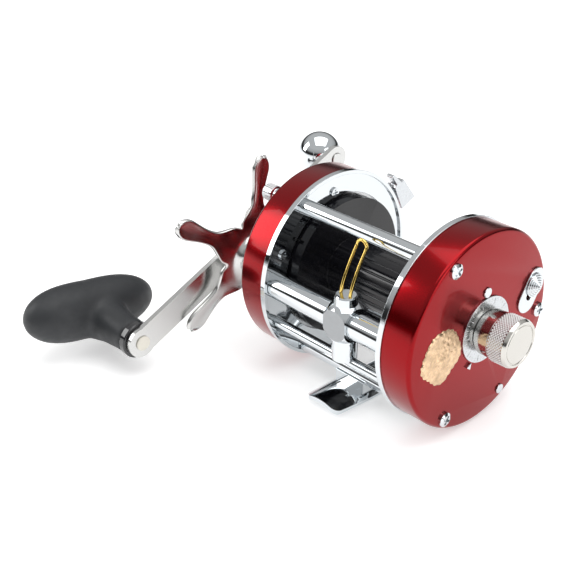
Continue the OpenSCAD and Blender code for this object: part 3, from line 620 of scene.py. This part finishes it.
class REEL_OT_badge(bpy.types.Operator):
    """Make the plain relief medallion"""
    bl_idname = "reel.badge"
    bl_label = "Medallion"

    def execute(self, context):
        low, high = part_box("badge")
        cy, cz = (low.y + high.y) / 2 / MM, (low.z + high.z) / 2 / MM
        half_y, half_z = (high.y - low.y) / 2 / MM, (high.z - low.z) / 2 / MM
        face, top = low.x / MM, high.x / MM
        bm = bmesh.new()
        rings, rounds, around = [], 22, 120
        for k in range(rounds + 1):
            t = k / rounds
            ring = []
            for i in range(around):
                a = 2 * math.pi * i / around
                shield = 0.90 + 0.07 * math.cos(2 * a - math.pi) ** 2 + 0.035 * math.cos(5 * a + 1.6)
                rim = shield + 0.02 * math.cos(24 * a)
                y, z = math.cos(a) * half_y * rim * t, math.sin(a) * half_z * rim * t
                if t > 0.985:
                    height = 0.0
                elif t > 0.86:
                    height = 0.55
                else:
                    wave = 0.5 + 0.5 * math.cos(9 * math.pi * t) * math.cos(6 * a)
                    height = 0.42 + 0.42 * wave * (0.35 + 0.65 * (1 - t)) + 0.3 * (1 - t) ** 2
                rough = noise.noise(Vector((y * 1.5, z * 1.5, 0.0))) * 0.16 * (t < 0.98)
                ring.append((face + (top - face) * min(1.0, max(0.0, height + rough)), cy + y, cz + z))
            rings.append(ring)
        centre = bm.verts.new(rings[0][0])
        made = [[bm.verts.new(p) for p in ring] for ring in rings[1:]]
        for i in range(around):
            bm.faces.new((centre, made[0][i], made[0][(i + 1) % around]))
        for inner, outer in zip(made, made[1:]):
            for i in range(around):
                j = (i + 1) % around
                bm.faces.new((inner[i], outer[i], outer[j], inner[j]))
        bm.faces.new(list(reversed(made[-1])))
        bmesh.ops.recalc_face_normals(bm, faces=bm.faces)
        piece = smooth(object_of("medallion", bm), 60)
        finished(piece, "badge_gold", "frame", "badge")
        return {"FINISHED"}


class REEL_OT_thumb_screws(bpy.types.Operator):
    """Make the knurled posts on the handle side"""
    bl_idname = "reel.thumb_screws"
    bl_label = "Thumb screws"

    def execute(self, context):
        pieces = []
        node = frame["nodes"]["thumb_screws"].data
        centres = []
        for v in node.vertices:
            if v.co.x / MM < HANDLE_FACE - 6.4:
                spot = Vector((v.co.y, v.co.z)) / MM
                if not any((spot - c).length < 8 for c in centres):
                    centres.append(spot)
        for spot in centres:
            ring = [Vector((v.co.y, v.co.z)) / MM for v in node.vertices
                    if v.co.x / MM < HANDLE_FACE - 6.4 and (Vector((v.co.y, v.co.z)) / MM - spot).length < 8]
            centre = Vector(((min(p.x for p in ring) + max(p.x for p in ring)) / 2,
                             (min(p.y for p in ring) + max(p.y for p in ring)) / 2))
            out, inn = HANDLE_FACE - 6.5, HANDLE_FACE - 1.6
            outline = rounded([(out, 0), (out, 2.5), (out + 0.5, 2.9), (inn - 0.3, 2.9), (inn, 2.2),
                               (HANDLE_FACE + 3, 2.2), (HANDLE_FACE + 3, 0)],
                              [0, 0.15, 0.15, 0.15, 0.1, 0, 0])
            pieces.append(painted(smooth(object_of("post", turned(outline, centre, 48))), "chrome"))
            rib = block((out + 0.7, 2.8, -0.14), (inn - 0.5, 3.08, 0.14))
            pieces.append(repeated(object_of("rib", rib), 28, centre, "chrome"))
        finished(joined("thumb_screws_ribbed", *pieces), None, "frame", "thumb_screws")
        return {"FINISHED"}


class REEL_OT_tension_cap(bpy.types.Operator):
    """Make the ribbed tension cap on the handle side"""
    bl_idname = "reel.tension_cap"
    bl_label = "Tension cap"

    def execute(self, context):
        out, inn = span("tension_cap", 0)
        outline = rounded([(out, 0), (out, 7.4), (out + 0.9, 8.4), (inn, 8.4), (inn, 6.8), (out + 2.4, 6.8),
                           (out + 2.4, 0)], [0, 0.4, 0.3, 0.2, 0.1, 0.1, 0])
        cap = painted(smooth(object_of("cap", turned(outline, SPOOL_AXIS))), "chrome")
        rib = block((out + 1.1, 8.3, -0.18), (inn - 0.4, 8.58, 0.18))
        ribs = repeated(object_of("rib", rib), 60, SPOOL_AXIS, "chrome")
        finished(joined("tension_cap_ribbed", cap, ribs), None, "tension_cap", "tension_cap")
        return {"FINISHED"}


# Radius, place inboard of the blade tips' inner face, and half-angle in degrees of one blade of five.
STAR_PATH_BLADES = 5
STAR_PATH = [(8.0, 10.6, 36), (8.0, 7.4, 36), (8.15, 6.2, 36), (8.6, 5.2, 36), (9.4, 4.4, 36),
             (10.6, 3.7, 36), (12.0, 3.15, 36), (13.6, 2.65, 32), (14.8, 2.3, 24), (16.4, 1.9, 15.5),
             (18.0, 1.55, 9.4), (19.5, 1.25, 7.0), (22.0, 0.95, 6.0), (25.0, 0.65, 6.0), (28.0, 0.35, 6.6),
             (30.5, 0.2, 6.9), (32.3, 0.1, 6.3), (33.7, 0.0, 4.8), (34.6, 0.0, 3.0), (35.0, 0.0, 0.9)]


class REEL_OT_star(bpy.types.Operator):
    """Make the drag star with its spoon blades"""
    bl_idname = "reel.star"
    bl_label = "Drag star"

    def execute(self, context):
        settings = context.scene.reel_star
        step = 2 * math.pi / settings.blades
        tip_face = span("star_wheel", 0)[0] + settings.thickness
        bm = bmesh.new()
        across = 8
        rows = []
        for r, back, half in STAR_PATH:
            row = []
            for k in range(across + 1):
                v = 2 * k / across - 1
                a = math.radians(half) * v * STAR_PATH_BLADES / settings.blades
                dish = 0.5 * v * v if r > 14 else 0.0
                row.append(bm.verts.new((tip_face + back + dish, r * math.cos(a), r * math.sin(a))))
            rows.append(row)
        for low, high in zip(rows, rows[1:]):
            for k in range(across):
                bm.faces.new((low[k], low[k + 1], high[k + 1], high[k]))
        blade = object_of("blade", bm)
        star = repeated(blade, settings.blades, CRANK_AXIS, "satin_steel", settings.first_angle, step)
        bm = bmesh.new()
        bm.from_mesh(star.data)
        bmesh.ops.remove_doubles(bm, verts=bm.verts, dist=1e-5)
        bmesh.ops.recalc_face_normals(bm, faces=bm.faces)
        tips = [f for f in bm.faces if (f.calc_center_median().yz - Vector(CRANK_AXIS) * MM).length > 0.02]
        if sum(f.normal.x for f in tips) < 0:
            bmesh.ops.reverse_faces(bm, faces=bm.faces)
        bpy.data.objects.remove(star)
        star = object_of("star_shell", bm, 1.0)
        wall = star.modifiers.new("Wall", "SOLIDIFY")
        wall.thickness = settings.thickness * MM
        wall.offset = -1
        soft = star.modifiers.new("Soft", "SUBSURF")
        soft.levels = soft.render_levels = 2
        applied(star)
        painted(smooth(star, 50), "satin_steel")
        low, high = span("star_wheel", 0)
        core = rounded([(high - 9.4, 2.7), (high - 9.4, 7.0), (high - 0.6, 7.0), (high - 0.6, 2.7)],
                       [0.1, 0.3, 0.3, 0.1])
        core = painted(smooth(object_of("core", turned(core, CRANK_AXIS, 72))), "satin_steel")
        finished(joined("star_blades", star, core), None, "star", "star_wheel")
        return {"FINISHED"}


class REEL_OT_crank_ends(bpy.types.Operator):
    """Make the counterweight ball and the crank nut"""
    bl_idname = "reel.crank_ends"
    bl_label = "Crank ends"

    def execute(self, context):
        low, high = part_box("counterweight")
        cy, cz = (low.y + high.y) / 2 / MM, (low.z + high.z) / 2 / MM
        r = (high.y - low.y) / 2 / MM
        out, inn = low.x / MM, high.x / MM
        outline = [(inn, 0)]
        steps = 40
        start = math.acos(max(-1, min(1, (inn - out - r) / r)))
        for k in range(steps + 1):
            a = start + (math.pi - start) * k / steps
            outline.append((out + r + r * math.cos(a), r * math.sin(a)))
        ball = smooth(object_of("counterweight_ball", turned(outline, (cy, cz), 80)), 40)
        edges(ball, 0.25)
        finished(ball, "chrome", "crank", "counterweight")
        nut = softened("crank_nut", 0.35)
        nut.name = "crank_nut_finished"
        return {"FINISHED"}


class REEL_OT_grip(bpy.types.Operator):
    """Blend the grip's bar into its stem"""
    bl_idname = "reel.grip"
    bl_label = "Grip"

    def execute(self, context):
        low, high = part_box("grip")
        lo, hi = low / MM, high / MM
        bar_x = lo.x + (hi.z - lo.z) / 2 * 0.9
        y0, z0 = (lo.y + hi.y) / 2, (lo.z + hi.z) / 2 + 1.0
        tilt = math.radians(-7)
        bm = bmesh.new()
        bmesh.ops.create_uvsphere(bm, u_segments=64, v_segments=48, radius=1)
        half = (hi.y - lo.y) / 2 * 0.985
        deep, tall = 10.2, 11.2
        blunt, taper, flat_top = 2.8, 0.05, 0.09
        for v in bm.verts:
            x, y, z = v.co
            thin = max(1e-6, math.hypot(x, z))
            fat = (1 - abs(y) ** blunt) ** 0.5 / thin if thin > 1e-5 else 0
            swell = 1.0 - taper * y
            x2, z2 = x * fat * deep * swell, z * fat * tall * swell
            z2 -= flat_top * max(0.0, z2) * (1 - abs(y))
            y2 = y * half
            v.co = (bar_x + x2, y0 + y2 * math.cos(tilt) - z2 * math.sin(tilt),
                    z0 + y2 * math.sin(tilt) + z2 * math.cos(tilt))
        outline = [(bar_x, 0), (bar_x, 9.0), (bar_x + 7, 8.6), (bar_x + 13, 7.2), (hi.x - 4, 6.4),
                   (hi.x, 6.5), (hi.x, 0)]
        turned(outline, GRIP_AXIS, 64, bm)
        grip = object_of("grip_soft", bm)
        remesh = grip.modifiers.new("Blend", "REMESH")
        remesh.mode = "VOXEL"
        remesh.voxel_size = context.scene.reel_grip.voxel * MM
        relax = grip.modifiers.new("Relax", "SMOOTH")
        relax.iterations = 14
        relax.factor = 0.5
        applied(grip)
        smooth(grip, 80)
        finished(grip, "grip_rubber", "grip", "grip")
        return {"FINISHED"}


class REEL_OT_carriage(bpy.types.Operator):
    """Make the line carriage's turned body and its wire loop"""
    bl_idname = "reel.carriage"
    bl_label = "Line carriage"

    def execute(self, context):
        low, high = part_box("line_carriage")
        lo, hi = low / MM, high / MM
        cx = (lo.x + hi.x) / 2
        ty, tz = WORM_AXIS
        bm = bmesh.new()
        ball = 7.5
        low_z, top_z = lo.z - 0.2, hi.z
        belly = [(tz + ball * math.sin(a), ball * math.cos(a))
                 for a in (math.radians(-50 + 115 * k / 30) for k in range(31))]
        belly = [(z, r) for z, r in belly if low_z < z < top_z - 0.4 and r > 3.7]
        turned([(low_z, 0), (low_z, belly[0][1]), *belly, (belly[-1][0] + 0.05, 3.9), (top_z - 0.5, 3.7),
                (top_z, 3.3), (top_z, 0)], (0, 0), 96, bm)
        for v in bm.verts:
            up, a, b = v.co
            v.co = (cx + a, ty + b, up)
        bmesh.ops.recalc_face_normals(bm, faces=bm.faces)
        body = object_of("carriage_body", bm)
        half = (hi.x - lo.x) / 2
        keep = block((cx - half, ty - 5.3, lo.z - 1), (cx + half, hi.y, hi.z + 1))
        cut(body, object_of("keep", keep), "INTERSECT")
        bore = turned([(cx - 20, 0), (cx - 20, 4.6), (cx + 20, 4.6), (cx + 20, 0)], WORM_AXIS, 64)
        cut(body, object_of("bore", bore))
        rod = (middle("guide_rod", 1), middle("guide_rod", 2))
        rod_r = (span("guide_rod", 2)[1] - span("guide_rod", 2)[0]) / 2 + 0.05
        hole = turned([(cx - 20, 0), (cx - 20, rod_r), (cx + 20, rod_r), (cx + 20, 0)], rod, 48)
        cut(body, object_of("hole", hole))
        smooth(body, 28)
        edges(body, 0.2)
        finished(body, "chrome", "carriage", "line_carriage")
        body.data.materials.append(material("brushed face"))
        for face in body.data.polygons:
            if face.normal.y < -0.99 and face.center.y < (ty - 5.2) * MM:
                face.material_index = 1

        wire = context.scene.reel_guide.wire_r
        wl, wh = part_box("line_guide")
        wlo, whi = wl / MM, wh / MM
        reach = (whi.x - wlo.x) / 2 - wire
        y_low, y_high = wlo.y + wire, whi.y - wire
        z_low, z_high = wlo.z, whi.z - wire
        path = []
        for k in range(25):
            t = k / 24
            path.append((cx - reach, y_low + (y_high - y_low) * t ** 1.5,
                         z_low + (z_high - reach - z_low) * t))
        for k in range(1, 12):
            a = math.pi * k / 12
            path.append((cx - reach * math.cos(a), y_high, z_high - reach + reach * math.sin(a)))
        path += [(2 * cx - x, y, z) for x, y, z in reversed(path[:25])]
        loop = smooth(object_of("guide_loop", tube(bmesh.new(), path, wire)), 60)
        finished(loop, "gold_wire", "carriage", "line_guide")
        return {"FINISHED"}


class REEL_OT_inner_parts(bpy.types.Operator):
    """Give every piece that stays as drawn its finish"""
    bl_idname = "reel.inner_parts"
    bl_label = "Inner parts"

    def execute(self, context):
        for node, piece in frame["nodes"].items():
            look = material(SLOT_LOOKS[SLOT_OF[node]])
            piece.data.materials.clear()
            piece.data.materials.append(look)
        return {"FINISHED"}


class REEL_OT_stage(bpy.types.Operator):
    """Set the floor, lights and camera"""
    bl_idname = "reel.stage"
    bl_label = "Stage"

    def execute(self, context):
        scene = context.scene
        s = scene.reel_stage
        scene.view_settings.view_transform = "Standard"
        world = bpy.data.worlds.new("studio")
        scene.world = world
        world.use_nodes = True
        nodes, links = world.node_tree.nodes, world.node_tree.links
        coords = nodes.new("ShaderNodeTexCoord")
        split = nodes.new("ShaderNodeSeparateXYZ")
        ramp = nodes.new("ShaderNodeValToRGB")
        ramp.color_ramp.elements[0].position = 0.0
        ramp.color_ramp.elements[0].color = (0.75, 0.76, 0.78, 1)
        ramp.color_ramp.elements[1].position = 0.6
        ramp.color_ramp.elements[1].color = (1, 1, 1, 1)
        for position, value in ((0.04, 0.03), (0.20, 0.06), (0.34, 0.74)):
            stop = ramp.color_ramp.elements.new(position)
            stop.color = (value, value, value, 1)
        links.new(coords.outputs["Generated"], split.inputs["Vector"])
        links.new(split.outputs["Z"], ramp.inputs["Fac"])
        links.new(ramp.outputs["Color"], nodes["Background"].inputs["Color"])
        nodes["Background"].inputs["Strength"].default_value = 0.62

        floor_z = CAD_BOX[0].z - 0.5 * MM
        bm = bmesh.new()
        bmesh.ops.create_circle(bm, cap_ends=True, radius=6, segments=64)
        for v in bm.verts:
            v.co.z = floor_z
        floor = object_of("floor", bm, 1.0)
        paper = Finish("paper", (0.90, 0.90, 0.90), 0.0, 0.7, emission_strength=0.42).rough(40, 0.6, 0.8)
        paper.set("Emission Color", (1.0, 1.0, 1.0, 1.0))
        floor.data.materials.append(paper.material)

        def softbox(name, place, aim, size, power):
            data = bpy.data.lights.new(name, "AREA")
            data.shape = "RECTANGLE"
            data.size, data.size_y = size
            data.energy = power
            lamp = bpy.data.objects.new(name, data)
            lamp.location = place
            lamp.rotation_euler = (Vector(aim) - Vector(place)).to_track_quat("-Z", "Y").to_euler()
            scene.collection.objects.link(lamp)

        aim = (0, 0, 0.03)
        softbox("top box", (0.05, 0.05, 0.9), aim, (0.9, 0.9), 5)
        softbox("left box", (-0.75, -0.55, 0.45), aim, (0.4, 0.6), 3)
        softbox("right box", (0.8, 0.05, 0.35), aim, (0.4, 0.6), 1.6)

        a, e, roll = s.azimuth, s.elevation, s.roll
        back = Vector((math.sin(a) * math.cos(e), -math.cos(a) * math.cos(e), math.sin(e)))
        right = Vector((math.cos(a), math.sin(a), 0))
        up = back.cross(right)
        right, up = (right * math.cos(roll) + up * math.sin(roll),
                     up * math.cos(roll) - right * math.sin(roll))
        centre = Vector((0, *PLATE_AXIS))
        place = centre + right * s.pan_right + up * s.pan_up + back * s.distance
        data = bpy.data.cameras.new("camera")
        data.sensor_width = 36
        data.lens = s.lens
        data.clip_start, data.clip_end = 0.01, 20
        camera = bpy.data.objects.new("camera", data)
        camera.matrix_world = Matrix.Translation(place * MM) @ Matrix((right, up, back)).transposed().to_4x4()
        scene.collection.objects.link(camera)
        scene.camera = camera
        return {"FINISHED"}


class REEL_PT_panel(bpy.types.Panel):
    """Buttons that make the reel's pieces"""
    bl_label = "Baitcasting reel"
    bl_space_type = "VIEW_3D"
    bl_region_type = "UI"
    bl_category = "Reel"

    def draw(self, context):
        for operator in OPERATORS:
            self.layout.operator(operator.bl_idname)


SETTINGS = {"reel_covers": CoverSettings, "reel_knob": KnobSettings, "reel_star": StarSettings,
            "reel_grip": GripSettings, "reel_guide": GuideSettings, "reel_stage": StageSettings}
OPERATORS = [REEL_OT_inner_parts, REEL_OT_frame_pieces, REEL_OT_spool, REEL_OT_brake_knob, REEL_OT_dial,
             REEL_OT_click, REEL_OT_badge, REEL_OT_thumb_screws, REEL_OT_tension_cap, REEL_OT_star,
             REEL_OT_crank_ends, REEL_OT_grip, REEL_OT_carriage, REEL_OT_stage]


def register():
    for group in (*SETTINGS.values(), *OPERATORS, REEL_PT_panel):
        bpy.utils.register_class(group)
    for name, group in SETTINGS.items():
        setattr(bpy.types.Scene, name, PointerProperty(type=group))


def unregister():
    for name in SETTINGS:
        delattr(bpy.types.Scene, name)
    for group in reversed((*SETTINGS.values(), *OPERATORS, REEL_PT_panel)):
        bpy.utils.unregister_class(group)


class AllSettings:
    """The setting groups that the finishes take their colours from."""

    def __init__(self, scene):
        self.covers, self.grip, self.guide = scene.reel_covers, scene.reel_grip, scene.reel_guide


def main():
    register()
    make_finishes(AllSettings(bpy.context.scene))
    for operator in OPERATORS:
        area, name = operator.bl_idname.split(".")
        getattr(getattr(bpy.ops, area), name)()


if __name__ == "__main__":
    main()
